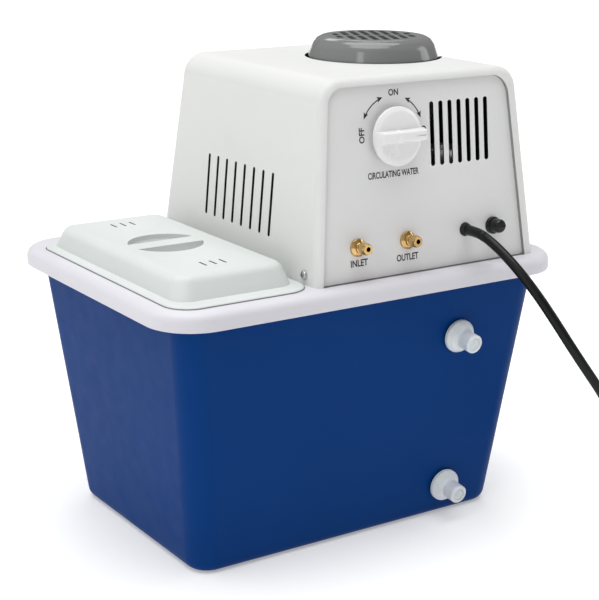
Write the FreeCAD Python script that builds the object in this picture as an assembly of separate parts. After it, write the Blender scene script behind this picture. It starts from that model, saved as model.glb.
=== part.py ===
"""Circulating-water vacuum pump: a water tank with a deck, a lift-off lid and a pump hood.

Frame: origin at the centre of the tank's underside, +Z up, +X along the long side
towards the hood, -Y towards the connection side (knob, nipples, cord). Millimetres.
"""
import FreeCAD, Part
import math
import os

from FreeCAD import Placement, Rotation, Vector

# ---------------------------------------------------------------- driving dimensions
LENGTH = 385.0            # deck, along X
WIDTH = 286.0             # deck, along Y
TANK_BASE = (151.0, 105.0)        # half sizes of the tank's underside
TANK_RIM = (176.2, 130.0)         # half sizes of the tank where the wall ends
TANK_TOP = 223.0
TANK_WALL = 3.0
DECK_LOW = 214.8          # lower edge of the deck's skirt
DECK_TOP = 229.5
DECK_PLATE = 6.5          # the deck's thickness inside the skirt
DECK_SKIN = 3.0

LID_X = (-180.2, -57.0)   # lid rebate in the deck
LID_Y = (-128.6, 117.0)
LID_LEDGE = 3.5           # depth of the rebate
LID_MOUTH_X = (-168.0, -68.0)
LID_MOUTH_Y = (-115.0, 108.0)
LID_TOP = 248.5
LID_WALL = 2.5

HOOD_X = (-56.0, 167.2)           # hood at the deck
HOOD_X_TOP = (-42.6, 151.2)       # hood at its top
HOOD_Y = (-128.0, 124.0)
HOOD_Y_TOP = (-111.6, 104.6)
HOOD_TOP = 388.0
HOOD_WALL = 3.0
PANEL_THICK = 1.5

MOTOR_X = 87.0            # axis of motor, fan cover and pump
CAP_RADIUS = 56.0
CAP_GAP = 3.0             # open ring between the cover and the hood's hole
CAP_TOP = 405.4
GRILLE_PITCH = 9.0        # across the slots of the cover's grille
GRILLE_RADIUS = 35.6
GRILLE_TURN = 66.0        # the slots' direction from +X, degrees
PLATE_TOP = 233.5         # motor plate's upper face
SHAFT_R = 6.0
RUNNING = 0.05            # radial clearance of a shaft in its bore
FREE = 0.3                # gap between curved faces of different bodies

SLOT_WIDTH = 3.4
PANEL_SLOT_WIDTH = 4.2
KNOB_AT = (24.5, 111.7)           # X and slope height on the rear panel
KNOB_R = 23.5
INLET_AT = (-13.6, 27.2)
OUTLET_AT = (35.3, 27.2)
CORD_AT = (95.0, 28.8)
FUSE_AT = (124.0, 28.8)
OVERFLOW_AT = (89.0, 169.5)       # X and slope height on the tank wall
DRAIN_AT = (91.3, 29.0)

GAUGE_X = (19.0, 95.0)            # front face
GAUGE_V = 112.0
SUCTION_V = 40.0
FRONT_MID = 57.0
SWITCH_V = 62.0
LAMP_V = 142.0

CORD_R = 4.0

# Route of the free cord, from the bushing to the coil: points of its control polygon.
CORD_ROUTE = [
    (95.0, -133.0, 259.0), (95.0, -151.0, 255.8), (97.0, -169.0, 246.8),
    (101.0, -186.0, 234.0), (107.5, -201.0, 217.2), (116.0, -213.0, 197.6),
    (126.5, -222.0, 176.8), (139.0, -229.0, 156.0), (153.0, -233.5, 135.5),
    (166.0, -236.0, 112.5), (177.0, -237.5, 87.5), (187.5, -239.0, 62.5),
    (200.0, -242.0, 39.0), (216.5, -248.0, 20.0), (236.5, -257.5, 8.0),
    (259.0, -268.0, 4.0),
]
COIL_AT = (259.0, -226.0)         # centre of the put-away coil
COIL_MID_R = 42.0                 # radius at the middle of the turns
COIL_BUNDLE = (18.0, 24.0)        # width and height of the bundle of turns

# ---------------------------------------------------------------- local frames
REAR_LEAN = math.degrees(math.atan2(HOOD_Y_TOP[0] - HOOD_Y[0], HOOD_TOP - DECK_TOP))
FRONT_LEAN = math.degrees(math.atan2(HOOD_Y[1] - HOOD_Y_TOP[1], HOOD_TOP - DECK_TOP))
TANK_LEAN = math.degrees(math.atan2(TANK_RIM[1] - TANK_BASE[1], TANK_TOP))
X_AXIS = Vector(1, 0, 0)
# Rear face of the hood: x along X, z up the slope, y inwards from the face.
REAR = Placement(Vector(0, HOOD_Y[0], DECK_TOP), Rotation(X_AXIS, -REAR_LEAN))
# Front face of the hood: x along X, z up the slope, y outwards from the face.
FRONT = Placement(Vector(0, HOOD_Y[1], DECK_TOP), Rotation(X_AXIS, FRONT_LEAN))
# Connection side of the tank: x along X, z up the slope, y inwards from the wall.
TANK_SIDE = Placement(Vector(0, -TANK_BASE[1], 0), Rotation(X_AXIS, TANK_LEAN))

os.makedirs("parts", exist_ok=True)


def export(name, shape):
    """Write one node's STEP file."""
    if not shape.isValid():
        print("INVALID", name)
    shape.exportStep("parts/" + name + ".step")


def group(shapes):
    return Part.makeCompound(shapes)


def put(shape, frame):
    """A copy of the shape, moved from a local frame into the object's frame."""
    moved = shape.copy()
    moved.Placement = frame.multiply(moved.Placement)
    return moved


def at(frame, x, y, z):
    """The object-frame point of a local point."""
    return frame.multVec(Vector(x, y, z))


# ---------------------------------------------------------------- shape helpers
def xy(z):
    return lambda u, v: Vector(u, v, z)


def xz(y):
    return lambda u, v: Vector(u, y, v)


def yz(x):
    return lambda u, v: Vector(x, u, v)


def outline(corners, plane):
    """Closed wire through corners (u, v, radius); each is rounded to its radius."""
    points = [plane(c[0], c[1]) for c in corners]
    count = len(points)
    stretches = []
    for i, here in enumerate(points):
        radius = corners[i][2] if len(corners[i]) > 2 else 0
        back = (points[i - 1] - here).normalize()
        on = (points[(i + 1) % count] - here).normalize()
        if radius == 0:
            stretches.append((here, here, here))
            continue
        half = back.getAngle(on) / 2
        cut = radius / math.tan(half)
        middle = (back + on).normalize()
        bulge = here + middle * (radius / math.sin(half) - radius)
        stretches.append((here + back * cut, bulge, here + on * cut))
    edges = []
    for i, (start, bulge, end) in enumerate(stretches):
        if (end - start).Length > 1e-6:
            edges.append(Part.Arc(start, bulge, end).toShape())
        following = stretches[(i + 1) % count][0]
        if (following - end).Length > 1e-6:
            edges.append(Part.LineSegment(end, following).toShape())
    return Part.Wire(edges)


def plate(corners, plane, push):
    """An outline's face pushed through a vector."""
    return Part.Face(outline(corners, plane)).extrude(Vector(*push))


def rectangle(x0, x1, y0, y1, radius):
    return [(x0, y0, radius), (x1, y0, radius), (x1, y1, radius), (x0, y1, radius)]


def lathe(corners, centre=(0, 0, 0), axis=(0, 0, 1)):
    """A profile (radius, height, corner radius) turned about an axis."""
    solid = Part.Face(outline(corners, xz(0))).revolve(Vector(), Vector(0, 0, 1), 360)
    solid.Placement = Placement(Vector(*centre), Rotation(Vector(0, 0, 1), Vector(*axis)))
    return solid


def rod(radius, length, start, axis=(0, 0, 1)):
    return Part.makeCylinder(radius, length, Vector(*start), Vector(*axis))


def pipe(outer, inner, length, start, axis=(0, 0, 1)):
    return rod(outer, length, start, axis).cut(rod(inner, length, start, axis))


def hexagon(across, length, start, bore, axis=(0, 0, 1)):
    """A nut blank with a hole, from its start face along its axis."""
    radius = across / math.sqrt(3)
    corners = [
        (radius * math.cos(math.radians(a)), radius * math.sin(math.radians(a)))
        for a in range(0, 360, 60)
    ]
    nut = plate(corners, xy(0), (0, 0, length)).cut(rod(bore, length, (0, 0, 0)))
    nut.Placement = Placement(Vector(*start), Rotation(Vector(0, 0, 1), Vector(*axis)))
    return nut


def slot(width, low, high, across, plane, push):
    """A round-ended slot cutter, upright, centred on a place across its face."""
    half = width / 2
    corners = rectangle(across - half, across + half, low, high, half * 0.999)
    return plate(corners, plane, push)


def drafted(low, high, z0, z1):
    """A solid with four leaning planar sides: low and high are (x0, x1, y0, y1)."""
    def ring(box, z):
        x0, x1, y0, y1 = box
        return [Vector(x0, y0, z), Vector(x1, y0, z), Vector(x1, y1, z), Vector(x0, y1, z)]

    a, b = ring(low, z0), ring(high, z1)
    loops = [a[::-1], b] + [[a[i], a[(i + 1) % 4], b[(i + 1) % 4], b[i]] for i in range(4)]
    faces = [Part.Face(Part.makePolygon(loop + [loop[0]])) for loop in loops]
    solid = Part.Solid(Part.Shell(faces))
    if solid.Volume < 0:
        solid.reverse()
    return solid


def edges_where(shape, test):
    """The edges whose middle point and direction pass a test."""
    found = []
    for edge in shape.Edges:
        middle = edge.valueAt((edge.FirstParameter + edge.LastParameter) / 2)
        ends = edge.Vertexes[-1].Point - edge.Vertexes[0].Point
        if test(middle, ends):
            found.append(edge)
    return found


def rounded_path(points):
    """Straight runs joined by the largest tangent arcs; also the radii used."""
    nodes = [Vector(*p) for p in points]
    edges, radii, start = [], [], nodes[0]
    for before, here, after in zip(nodes, nodes[1:], nodes[2:]):
        back, on = before - here, after - here
        turn = math.pi - back.getAngle(on)
        radius = 0.45 * min(back.Length, on.Length) / math.tan(turn / 2)
        radii.append(radius)
        cut = radius * math.tan(turn / 2)
        back.normalize()
        on.normalize()
        enter, leave = here + back * cut, here + on * cut
        bulge = here + (back + on).normalize() * (radius / math.cos(turn / 2) - radius)
        edges.append(Part.LineSegment(start, enter).toShape())
        edges.append(Part.Arc(enter, bulge, leave).toShape())
        start = leave
    edges.append(Part.LineSegment(start, nodes[-1]).toShape())
    return Part.Wire(edges), radii


def tube_along(points, outer, inner=0.0):
    """A round tube or rod along a rounded path."""
    path, radii = rounded_path(points)
    start = Vector(*points[0])
    aim = Vector(*points[1]) - start

    def sweep(radius):
        ring = Part.Wire(Part.makeCircle(radius, start, aim))
        return path.makePipeShell([ring], True, False)

    solid = sweep(outer)
    if inner:
        solid = solid.cut(sweep(inner))
    return solid, path.Length, radii


# ---------------------------------------------------------------- tank and deck
def inset(box, by):
    return (box[0] + by, box[1] - by, box[2] + by, box[3] - by)


def tank_block(by, floor):
    """The tank's outer form, moved inwards, from a floor height up."""
    slope_x = (TANK_RIM[0] - TANK_BASE[0]) / TANK_TOP
    slope_y = (TANK_RIM[1] - TANK_BASE[1]) / TANK_TOP
    low_x, low_y = TANK_BASE[0] + slope_x * floor, TANK_BASE[1] + slope_y * floor
    low = inset((-low_x, low_x, -low_y, low_y), by)
    high = inset((-TANK_RIM[0], TANK_RIM[0], -TANK_RIM[1], TANK_RIM[1]), by)
    block = drafted(low, high, floor, TANK_TOP)
    middle = (floor + TANK_TOP) / 2
    uprights = edges_where(block, lambda m, d: abs(m.z - middle) < 1)
    block = block.makeFillet(21.0 - by, uprights)
    bottom = edges_where(block, lambda m, d: abs(m.z - floor) < 0.01)
    return block.makeFillet(10.0 - by, bottom)


def tank():
    """Open moulded tank with an outward lip that carries the deck."""
    shell = tank_block(0, 0)
    lip_x, lip_y = TANK_RIM[0] + 11.5, TANK_RIM[1] + 8.5
    lip = plate(rectangle(-lip_x, lip_x, -lip_y, lip_y, 34), xy(TANK_TOP - 3), (0, 0, 3))
    shell = shell.fuse(lip).cut(tank_block(TANK_WALL, TANK_WALL))
    for x, v in (OVERFLOW_AT, DRAIN_AT):
        shell = shell.cut(put(rod(8.2, 20, (x, -8, v), (0, 1, 0)), TANK_SIDE))
    return shell.removeSplitter()


def deck():
    """Moulded frame over the tank: rounded skirt, lid rebate, lid mouth, pump opening."""
    hx, hy = LENGTH / 2, WIDTH / 2
    outer = plate(rectangle(-hx, hx, -hy, hy, 40), xy(DECK_LOW), (0, 0, DECK_TOP - DECK_LOW))
    outer = outer.makeFillet(7.5, edges_where(outer, lambda m, d: m.z > DECK_TOP - 0.01))
    outer = outer.makeFillet(1.4, edges_where(outer, lambda m, d: m.z < DECK_LOW + 0.01))
    under = DECK_TOP - DECK_PLATE
    ix, iy = hx - DECK_SKIN, hy - DECK_SKIN
    hollow = plate(rectangle(-ix, ix, -iy, iy, 37), xy(DECK_LOW - 1), (0, 0, under - DECK_LOW + 1))
    body = outer.cut(hollow)
    ledge = DECK_TOP - LID_LEDGE
    x0, x1 = LID_X
    y0, y1 = LID_Y
    body = body.cut(plate(rectangle(x0, x1, y0, y1, 22), xy(ledge), (0, 0, 10)))
    x0, x1 = LID_MOUTH_X
    y0, y1 = LID_MOUTH_Y
    body = body.cut(plate(rectangle(x0, x1, y0, y1, 14), xy(under - 1), (0, 0, 20)))
    return body.cut(plate(rectangle(-25, 145, -80, 80, 10), xy(under - 1), (0, 0, 20)))


def lid_form(by, top):
    """The lid's raised platform, moved inwards, up to a top height."""
    low = inset((-172.0, -62.5, -115.5, 114.0), by)
    high = inset((-165.0, -68.5, -103.5, 102.5), by)
    base = DECK_TOP - LID_LEDGE
    block = drafted(low, high, base, top)
    middle = (base + top) / 2
    block = block.makeFillet(16.0 - by, edges_where(block, lambda m, d: abs(m.z - middle) < 1))
    return block.makeFillet(9.0 - by, edges_where(block, lambda m, d: m.z > top - 0.01))


def tank_lid():
    """Lift-off lid: flange, raised platform, round finger recess with a grip bar."""
    gap = 0.6
    base = DECK_TOP - LID_LEDGE
    x0, x1 = LID_X
    y0, y1 = LID_Y
    outer = rectangle(x0 + gap, x1 - gap, y0 + gap, y1 - gap, 21.4)
    flange = plate(outer, xy(base), (0, 0, 5.2))
    flange = flange.makeFillet(1.8, edges_where(flange, lambda m, d: m.z > base + 5.1))
    middle, recess_r, recess_floor = -118.5, 31.0, LID_TOP - 11
    cup = rod(recess_r + LID_WALL, LID_TOP - 1 - recess_floor + LID_WALL,
              (middle, 0, recess_floor - LID_WALL))
    body = flange.fuse(lid_form(0, LID_TOP)).cut(lid_form(LID_WALL, LID_TOP - LID_WALL)).fuse(cup)
    recess = lathe([(0, recess_floor), (recess_r - 4, recess_floor, 4), (recess_r, LID_TOP - 4),
                    (recess_r, LID_TOP + 2), (0, LID_TOP + 2)], (middle, 0, 0))
    half_bar = 8.5
    bar = plate([(-half_bar - 1.5, recess_floor - 1), (half_bar + 1.5, recess_floor - 1),
                 (half_bar, LID_TOP + 3), (-half_bar, LID_TOP + 3)],
                yz(middle - recess_r - 5), (2 * recess_r + 10, 0, 0))
    body = body.cut(recess.cut(bar))
    for y in (-76.0, 76.0):
        for step in (-1, 0, 1):
            slit = plate(rectangle(middle + 8.8 * step - 0.9, middle + 8.8 * step + 0.9,
                                   y - 6, y + 6, 0.8), xy(LID_TOP - 9), (0, 0, 12))
            body = body.cut(slit)
    return body


# ---------------------------------------------------------------- hood
def hood_limits(z, by):
    """X and Y limits of the hood's outer form at a height, moved inwards."""
    share = (z - DECK_TOP) / (HOOD_TOP - DECK_TOP)
    low, high = HOOD_X + HOOD_Y, HOOD_X_TOP + HOOD_Y_TOP
    return inset([a + (b - a) * share for a, b in zip(low, high)], by)


def hood_block(by, rear_r, front_r, top_r):
    """The hood's outer form, moved inwards, with its edges rounded."""
    top = HOOD_TOP - by
    block = drafted(hood_limits(DECK_TOP, by), hood_limits(top, by), DECK_TOP, top)
    long_tops = edges_where(block, lambda m, d: m.z > top - 0.01 and abs(d.x) < 1)
    block = block.makeFillet(top_r, long_tops)
    for side, radius in ((2, rear_r), (3, front_r)):
        end = edges_where(block, lambda m, d: (abs(m.y - hood_limits(m.z, by)[side]) < 0.3
                                               and m.z > DECK_TOP + 1))
        block = block.makeFillet(radius, end)
    return block


def panel_outline(grow):
    """The rear opening's outline on the sloping face, grown outwards."""
    return [(-50.0 - grow, 0.7), (157.0 + grow, 0.7), (141.2 + grow, 153.0 + grow, 18 + grow),
            (-36.8 - grow, 153.0 + grow, 14 + grow)]


def side_slots():
    """Cutters of the eight slots in the hood's side."""
    pitch, middle = 14.35, -4.0
    places = [middle + (i - 3.5) * pitch for i in range(8)]
    return [slot(SLOT_WIDTH, 256.6, 308.4, y, yz(-62), (30, 0, 0)) for y in places]


def screw_places():
    """The hood's four side screws: a point on each face and the inward direction."""
    lean = (HOOD_X_TOP[0] - HOOD_X[0]) / (HOOD_TOP - DECK_TOP)
    lean_right = (HOOD_X_TOP[1] - HOOD_X[1]) / (HOOD_TOP - DECK_TOP)
    z = 237.0
    left, right = HOOD_X[0] + lean * (z - DECK_TOP), HOOD_X[1] + lean_right * (z - DECK_TOP)
    return [((x, y, z), (way, 0, 0)) for x, way in ((left, 1), (right, -1))
            for y in (-110.0, 107.5)]


def hood_shell():
    shell = hood_block(0, 7.0, 11.0, 19.5).cut(hood_block(HOOD_WALL, 1.0, 8.0, 16.5))
    low_part = panel_outline(0)
    low_part[0] = (-50.0, -5)
    low_part[1] = (157.0, -5)
    shell = shell.cut(put(plate(low_part, xz(-6), (0, 9.5, 0)), REAR))
    shell = shell.cut(rod(CAP_RADIUS + CAP_GAP, 20, (MOTOR_X, 0, HOOD_TOP - 10)))
    for cutter in side_slots():
        shell = shell.cut(cutter)
    for (x, y, z), way in screw_places():
        shell = shell.cut(rod(2.2, 16, (x - 8 * way[0], y, z), way))
    holes = [rod(27.3, 12, (x, -6, GAUGE_V), (0, 1, 0)) for x in GAUGE_X]
    holes += [rod(6.2, 12, (x, -6, SUCTION_V), (0, 1, 0)) for x in GAUGE_X]
    holes.append(rod(5.2, 12, (FRONT_MID, -6, LAMP_V), (0, 1, 0)))
    holes.append(Part.makeBox(22.4, 12, 25.4, Vector(FRONT_MID - 11.2, -6, SWITCH_V - 12.7)))
    for hole in holes:
        shell = shell.cut(put(hole, FRONT))
    return shell


def hood_brackets():
    """Four angle brackets on the deck that the side screws go into."""
    brackets = []
    for (x, y, z), (way, _, _) in screw_places():
        face = x + way * 4.2
        upright = Part.makeBox(2, 14, 14, Vector(min(face, face + way * 2), y - 7, DECK_TOP))
        foot = Part.makeBox(14, 14, 2, Vector(min(face, face + way * 14), y - 7, DECK_TOP))
        bracket = upright.fuse(foot).cut(rod(1.8, 20, (x - way * 2, y, z), (way, 0, 0)))
        brackets.append(bracket)
    return group(brackets)


def cross_screw(place, way, head_r=3.6, thread_r=1.8, length=9.0):
    """Pan-head screw with a cross recess; its head stands against the way it goes."""
    head = lathe([(0, 0), (head_r, 0), (head_r, 1.6, 1.2), (head_r * 0.5, 2.3, 2), (0, 2.4)])
    for turn in (0, 90):
        bar = Part.makeBox(head_r * 1.3, 0.9, 2, Vector(-head_r * 0.65, -0.45, 1.2))
        bar.rotate(Vector(), Vector(0, 0, 1), turn)
        head = head.cut(bar)
    screw = head.fuse(rod(thread_r, length, (0, 0, -length)))
    out = Vector(-way[0], -way[1], -way[2])
    screw.Placement = Placement(Vector(*place), Rotation(Vector(0, 0, 1), out))
    return screw


def rear_panel():
    """Inset plate behind the hood's rear opening, with its slots and fitting holes."""
    inner = HOOD_WALL
    sheet = plate(panel_outline(2.4), xz(inner), (0, PANEL_THICK, 0))
    first, pitch = 64.2, 9.28
    for i in range(7):
        middle = first + pitch * i
        cutter = slot(PANEL_SLOT_WIDTH, 84.1, 135.9, middle, xz(0), (0, 10, 0))
        sheet = sheet.cut(cutter)
    for (x, v), radius in ((KNOB_AT, 6.1), (INLET_AT, 4.1), (OUTLET_AT, 4.1),
                           (CORD_AT, 5.1), (FUSE_AT, 6.1)):
        sheet = sheet.cut(rod(radius, 10, (x, 0, v), (0, 1, 0)))
    return put(sheet, REAR)


def fan_cover():
    """Domed motor cowl that stands through the hood's top, with two rows of vent slots."""
    low = 337.5
    neck = HOOD_TOP + 0.5
    outer = [(0, low), (CAP_RADIUS, low), (CAP_RADIUS, neck, 3), (52.4, 398.5, 12),
             (48.9, 403.2, 6), (44.5, CAP_TOP, 5), (0, CAP_TOP)]
    inner = [(0, low - 1), (CAP_RADIUS - 2, low - 1), (CAP_RADIUS - 2, 387.5, 3),
             (50.4, 397.2, 8), (46.6, 401.6, 5), (42.8, 402.9, 3), (0, 402.9)]
    cap = lathe(outer, (MOTOR_X, 0, 0)).cut(lathe(inner, (MOTOR_X, 0, 0)))
    for column in range(-4, 4):
        across = GRILLE_PITCH * (column + 0.5)
        reach = math.sqrt(GRILLE_RADIUS ** 2 - across ** 2)
        for side in (0, 180):
            hole = plate(rectangle(2.2, reach, across - 2.6, across + 2.6, 1.2),
                         xy(CAP_TOP - 6), (0, 0, 12))
            hole.rotate(Vector(), Vector(0, 0, 1), GRILLE_TURN + side)
            hole.translate(Vector(MOTOR_X, 0, 0))
            cap = cap.cut(hole)
    return cap


# ---------------------------------------------------------------- circulating-water valve
# Local frame of the valve: the rear panel's outer face is at y = HOOD_WALL, y grows inwards.
STEM_R = 4.0
BALL_R = 8.5
VALVE_DEPTH = 24.0        # the ball's centre, inwards from the hood's rear face


def circulation_knob():
    """Disc with a bevelled edge, a tapered grip bar and a bore for the stem."""
    x, v = KNOB_AT
    profile = [(0, -1.7), (9.0, -1.7), (9.0, 1.6), (KNOB_R - 1.2, 1.6), (KNOB_R, 2.8),
               (KNOB_R, 5.0, 1.0), (KNOB_R - 3.6, 7.0, 4), (0, 7.6)]
    disc = lathe(profile, (x, 0, v), (0, -1, 0))
    wide, narrow = 5.6, 4.2
    bar = plate([(-wide, 5.0), (wide, 5.0), (narrow, 14.4, 2.2), (-narrow, 14.4, 2.2)],
                yz(-KNOB_R), (2 * KNOB_R, 0, 0))
    bar = bar.common(lathe([(0, 0), (KNOB_R, 0), (KNOB_R, 5.6), (KNOB_R - 2.0, 15.5), (0, 15.5)]))
    mark = Part.makeBox(9, 0.9, 1, Vector(KNOB_R - 12.5, -0.45, 13.6))
    bar = bar.cut(mark)
    bar.Placement = Placement(Vector(x, 0, v), Rotation(Vector(1, 0, 0), 90))
    bore = rod(STEM_R, 12, (x, 8, v), (0, -1, 0))
    return put(disc.fuse(bar).cut(bore), REAR)


def valve_stem():
    x, v = KNOB_AT
    length = VALVE_DEPTH - BALL_R + 5.0
    stem = rod(STEM_R, length, (x, -3.8, v), (0, 1, 0))
    tang = Part.makeBox(3, 3.5, 6, Vector(x - 1.5, length - 3.8, v - 3))
    return put(stem.fuse(tang), REAR)


def valve_ball():
    """Ball with a through bore and the slot that the stem's tang turns."""
    x, v = KNOB_AT
    ball = Part.makeSphere(BALL_R, Vector(x, VALVE_DEPTH, v))
    ball = ball.cut(rod(3.0, 20, (x, VALVE_DEPTH, v - 10)))
    ball = ball.cut(Part.makeBox(20, 4, 8, Vector(x - 10, VALVE_DEPTH - BALL_R - 0.5, v - 4)))
    key = Part.makeBox(3, 3.5, 6, Vector(x - 1.5, VALVE_DEPTH - BALL_R + 1.2, v - 3))
    lugs = [Part.makeBox(5, 2.3, 8, Vector(x + s, VALVE_DEPTH - BALL_R + 1.2, v - 4))
            for s in (-6.5, 1.5)]
    shaped = Part.makeSphere(BALL_R, Vector(x, VALVE_DEPTH, v))
    ball = ball.fuse([lug.common(shaped) for lug in lugs]).cut(key)
    return put(ball, REAR)


def valve_body():
    """Valve housing behind the panel, with a neck through the panel and two hose stubs."""
    x, v = KNOB_AT
    start = HOOD_WALL + PANEL_THICK
    body = rod(14, 2 * (VALVE_DEPTH - start) - 2, (x, start, v), (0, 1, 0))
    body = body.fuse(rod(6.0, 3, (x, start - 2.1, v), (0, 1, 0)))
    for way in (-1, 1):
        body = body.fuse(rod(4.0, 24, (x, VALVE_DEPTH, v), (way, 0, 0)))
    body = body.cut(Part.makeSphere(BALL_R + FREE, Vector(x, VALVE_DEPTH, v)))
    body = body.cut(rod(STEM_R + RUNNING, VALVE_DEPTH - 2, (x, 0, v), (0, 1, 0)))
    body = body.cut(rod(2.6, 60, (x - 30, VALVE_DEPTH, v), (1, 0, 0)))
    return put(body, REAR)


# ---------------------------------------------------------------- brass nipples
def nipple(x, v):
    """Brass hose nipple: flange on the panel, barbed end, threaded tail inside."""
    tail = -20.0
    profile = [(2.0, tail), (4.0, tail), (4.0, 0), (7.3, 0),
               (7.3, 1.6, 0.5), (5.4, 3.0, 1.0), (4.5, 3.4), (4.5, 5.6, 0.4), (3.6, 6.1),
               (3.6, 7.2), (4.9, 8.2, 0.4), (4.9, 12.4, 0.3), (4.1, 14.7, 0.5), (2.0, 14.7)]
    return lathe(profile, (x, HOOD_WALL, v), (0, -1, 0))


# ---------------------------------------------------------------- fuse holder
FUSE_R = 2.6
FUSE_LENGTH = 25.0
FUSE_GRIP = 4.6           # how far the cap's bore reaches out from the panel


def fuse_holder():
    x, v = FUSE_AT
    profile = [(0, -34), (6.0, -34, 1), (6.0, 0), (7.2, 0), (7.2, 2.8, 1.0), (6.4, 3.4, 0.4),
               (5.0, 3.4), (5.0, -3), (FUSE_R + FREE, -3), (FUSE_R + FREE, -28), (0, -28)]
    body = lathe(profile, (x, HOOD_WALL, v), (0, -1, 0))
    tags = [Part.makeBox(1, 8, 4, Vector(x + s, HOOD_WALL + 34, v - 2)) for s in (-3.5, 2.5)]
    return put(body.fuse(tags), REAR)


def fuse_cap():
    """Turn-and-pull cap; its bore holds the end of the fuse link."""
    x, v = FUSE_AT
    bore = FUSE_R + RUNNING
    profile = [(bore, 0.4), (4.7, 0.4), (4.7, 3.8), (6.0, 3.8), (5.6, 10.6, 1.4),
               (4.4, 12.6, 1.6), (0, 12.9), (0, FUSE_GRIP), (bore, FUSE_GRIP)]
    cap = lathe(profile, (x, HOOD_WALL, v), (0, -1, 0))
    driver_slot = Part.makeBox(6.6, 2.0, 1.2, Vector(x - 3.3, HOOD_WALL - 13.6, v - 0.6))
    return put(cap.cut(driver_slot), REAR)


def fuse_link():
    """Fuse cartridge; its outer end sits in the cap."""
    x, v = FUSE_AT
    start = HOOD_WALL - FUSE_GRIP + 0.1
    return put(rod(FUSE_R, FUSE_LENGTH, (x, start, v), (0, 1, 0)), REAR)


# ---------------------------------------------------------------- mains cord
def cord_bushing():
    """Rubber bushing in the panel: a flange on each side and a short round nose."""
    x, v = CORD_AT
    profile = [(CORD_R, -7), (7.4, -7, 0.6), (7.4, -4.6), (5.0, -PANEL_THICK - 0.1), (5.0, 0),
               (5.7, 0), (5.7, 0.9, 0.4), (4.9, 1.4, 0.3), (4.5, 4.0, 0.3), (CORD_R, 4.0)]
    return put(lathe(profile, (x, HOOD_WALL, v), (0, -1, 0)), REAR)


def power_cord():
    x, v = CORD_AT
    start = at(REAR, x, HOOD_WALL + 13, v)
    solid, length, radii = tube_along([tuple(start)] + CORD_ROUTE, CORD_R)
    print("cord radii", [round(r) for r in radii], "length", round(length),
          "volume ratio", round(solid.Volume / (math.pi * CORD_R ** 2 * length), 4))
    return solid


def power_cord_coil():
    """The outer form of the put-away coil: one closed ring on the table."""
    width, height = COIL_BUNDLE
    inner, outer = COIL_MID_R - width / 2, COIL_MID_R + width / 2
    profile = [(inner, 0.0, 5), (outer, 0.0, 5), (outer, height, 6), (inner, height, 6)]
    return lathe(profile, (COIL_AT[0], COIL_AT[1], 0))


def power_plug():
    """Moulded three-pin mains plug lying on the coil, its pins along +Y."""
    half = 12.5
    body = plate([(-9, -20, 4), (9, -20, 4), (half, -4, 8), (half, 19, 3), (-half, 19, 3),
                  (-half, -4, 8)], xy(0), (0, 0, 22))
    body = body.makeFillet(2.4, edges_where(body, lambda m, d: m.z < 0.01 or m.z > 21.99))
    blades = [Part.makeBox(1.6, 17, 6.4, Vector(x - 0.8, 18.5, 11.5)) for x in (-6.35, 6.35)]
    earth = rod(2.4, 20, (0, 18.5, 5.0), (0, 1, 0))
    plug = body.fuse(blades + [earth])
    plug.translate(Vector(COIL_AT[0] + COIL_MID_R, COIL_AT[1] + 14, COIL_BUNDLE[1]))
    return plug


# ---------------------------------------------------------------- hose nozzles on the tank
def tank_nozzle(x, v):
    """Moulded nozzle: domed flange against its gasket, smooth stub, threaded tail."""
    profile = [(5.0, -16), (8.0, -16), (8.0, 2.0), (14.2, 2.0), (14.2, 4.8, 2.0), (11.6, 8.2, 3.0),
               (9.6, 9.4, 1.0), (8.0, 11.5, 1.0), (8.0, 24.0, 1.5), (5.0, 24.0)]
    return put(lathe(profile, (x, 0, v), (0, -1, 0)), TANK_SIDE)


def nozzle_gaskets():
    return group([put(pipe(13.0, 8.0, 2.0, (x, 0, v), (0, -1, 0)), TANK_SIDE)
                  for x, v in (OVERFLOW_AT, DRAIN_AT)])


def nozzle_nuts():
    inside = TANK_WALL / math.cos(math.radians(TANK_LEAN))
    return group([put(hexagon(24, 6, (x, inside, v), 8.0, (0, 1, 0)), TANK_SIDE)
                  for x, v in (OVERFLOW_AT, DRAIN_AT)])


# ---------------------------------------------------------------- front face
DIAL_R = 26.5
LENS_AT = 6.6
POINTER_REST = -135.0     # turn of the pointer from straight up to its zero mark


def gauge_case(x):
    """Round gauge case: bezel on the hood, cup behind it, pressure stub at the back."""
    profile = [(0, -26), (26.6, -26, 3), (27.0, -3), (27.0, 0), (32.0, 0), (32.0, 6.0, 3.5),
               (29.5, 9.0, 1.5), (27.0, 9.0), (27.0, 1.0), (1.6, 1.0), (1.6, -4.0), (0, -4.0)]
    case = lathe(profile, (x, 0, GAUGE_V), (0, 1, 0))
    return put(case.fuse(rod(5, 12, (x, -26, GAUGE_V), (0, -1, 0))), FRONT)


def gauge_dial(x):
    return put(pipe(DIAL_R, 1.2 + RUNNING, 0.8, (x, 1.0, GAUGE_V), (0, 1, 0)), FRONT)


def gauge_pointer(x):
    """Tapered pointer on its arbor, resting at zero, low on the dial's -X side."""
    arbor = rod(1.2, 6.6, (x, -2.5, GAUGE_V), (0, 1, 0))
    hub = rod(3.2, 1.4, (x, 3.0, GAUGE_V), (0, 1, 0))
    blade = plate([(-0.5, 22), (0.5, 22), (1.6, 0), (1.4, -7), (-1.4, -7), (-1.6, 0)],
                  xz(3.2), (0, 0.8, 0))
    blade.rotate(Vector(), Vector(0, 1, 0), POINTER_REST)
    blade.translate(Vector(x, 0, GAUGE_V))
    return put(arbor.fuse([hub, blade]), FRONT)


def gauge_lens(x):
    return put(lathe([(0, LENS_AT), (26.9, LENS_AT), (26.9, 8.2, 0.4), (0, 8.8)],
                     (x, 0, GAUGE_V), (0, 1, 0)), FRONT)


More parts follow.
